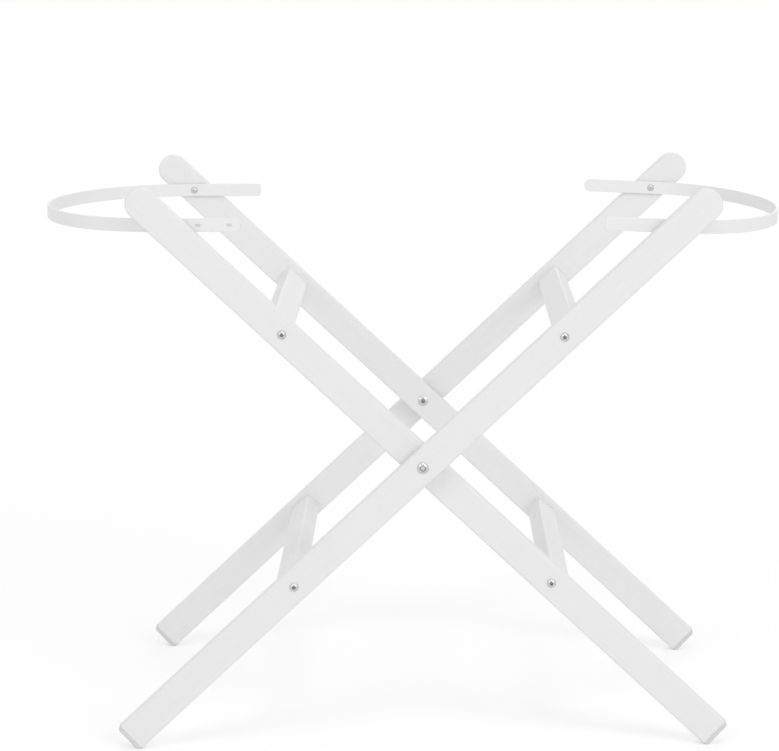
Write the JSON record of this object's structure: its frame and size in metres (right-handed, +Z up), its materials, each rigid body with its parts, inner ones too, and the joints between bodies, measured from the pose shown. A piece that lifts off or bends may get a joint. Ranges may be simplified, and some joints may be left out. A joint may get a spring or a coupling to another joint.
{
  "type": "moses basket stand",
  "caption": "Folding stand for a moses basket: crossed white wooden legs joined by rails, with a flat steel hoop at each end that keeps the basket in place.",
  "frame": {"origin": "on the floor, at the bottom centre of the bounding box of the open stand", "axes": "+X along the basket, towards the hoop on the outer frame; +Y from front to rear; +Z up"},
  "size_m": [0.8484, 0.4756, 0.6283],
  "materials": {
    "white_lacquer": "satin white lacquer on beech",
    "white_powder_coat": "satin white powder coat on steel strip",
    "zinc_plate": "bright zinc plate",
    "nylon": "natural nylon",
    "bare_beech": "bare beech",
    "grey_rubber": "pale grey moulded rubber"
  },
  "bodies": {
    "outer_frame": {"outer_front_leg": "white_lacquer", "outer_rear_leg": "white_lacquer", "outer_front_foot_pad": "grey_rubber", "outer_rear_foot_pad": "grey_rubber", "outer_upper_rail": "white_lacquer", "outer_lower_rail": "white_lacquer", "front_pivot_bolt": "zinc_plate", "rear_pivot_bolt": "zinc_plate", "front_sleeve_nut": "zinc_plate", "rear_sleeve_nut": "zinc_plate", "front_pivot_washer": "nylon", "rear_pivot_washer": "nylon", "front_stop_pin": "zinc_plate", "rear_stop_pin": "zinc_plate", "outer_upper_rail_bolts": "zinc_plate", "outer_lower_rail_bolts": "zinc_plate", "outer_upper_barrel_nuts": "zinc_plate", "outer_lower_barrel_nuts": "zinc_plate", "outer_upper_dowels": "bare_beech", "outer_lower_dowels": "bare_beech", "right_hoop_screws": "zinc_plate", "right_hoop_washers": "nylon"},
    "inner_frame": {"inner_front_leg": "white_lacquer", "inner_rear_leg": "white_lacquer", "inner_front_foot_pad": "grey_rubber", "inner_rear_foot_pad": "grey_rubber", "inner_upper_rail": "white_lacquer", "inner_lower_rail": "white_lacquer", "inner_upper_rail_bolts": "zinc_plate", "inner_lower_rail_bolts": "zinc_plate", "inner_upper_barrel_nuts": "zinc_plate", "inner_lower_barrel_nuts": "zinc_plate", "inner_upper_dowels": "bare_beech", "inner_lower_dowels": "bare_beech", "left_hoop_screws": "zinc_plate", "left_hoop_washers": "nylon"},
    "left_hoop": {"left_hoop": "white_powder_coat"},
    "right_hoop": {"right_hoop": "white_powder_coat"}
  },
  "joints": [
    {"name": "fold", "type": "hinge", "parent": "outer_frame", "child": "inner_frame", "pos_m": [0.01241, 0, 0.32088], "axis": [0, 1, 0], "range_deg": [0, 78]},
    {"name": "left_hoop_swing", "type": "hinge", "parent": "inner_frame", "child": "left_hoop", "pos_m": [-0.2697, 0, 0.5858], "axis": [0, 1, 0], "range_deg": [-45, 45]},
    {"name": "right_hoop_swing", "type": "hinge", "parent": "outer_frame", "child": "right_hoop", "pos_m": [0.29452, 0, 0.5858], "axis": [0, -1, 0], "range_deg": [-45, 45]}
  ]
}
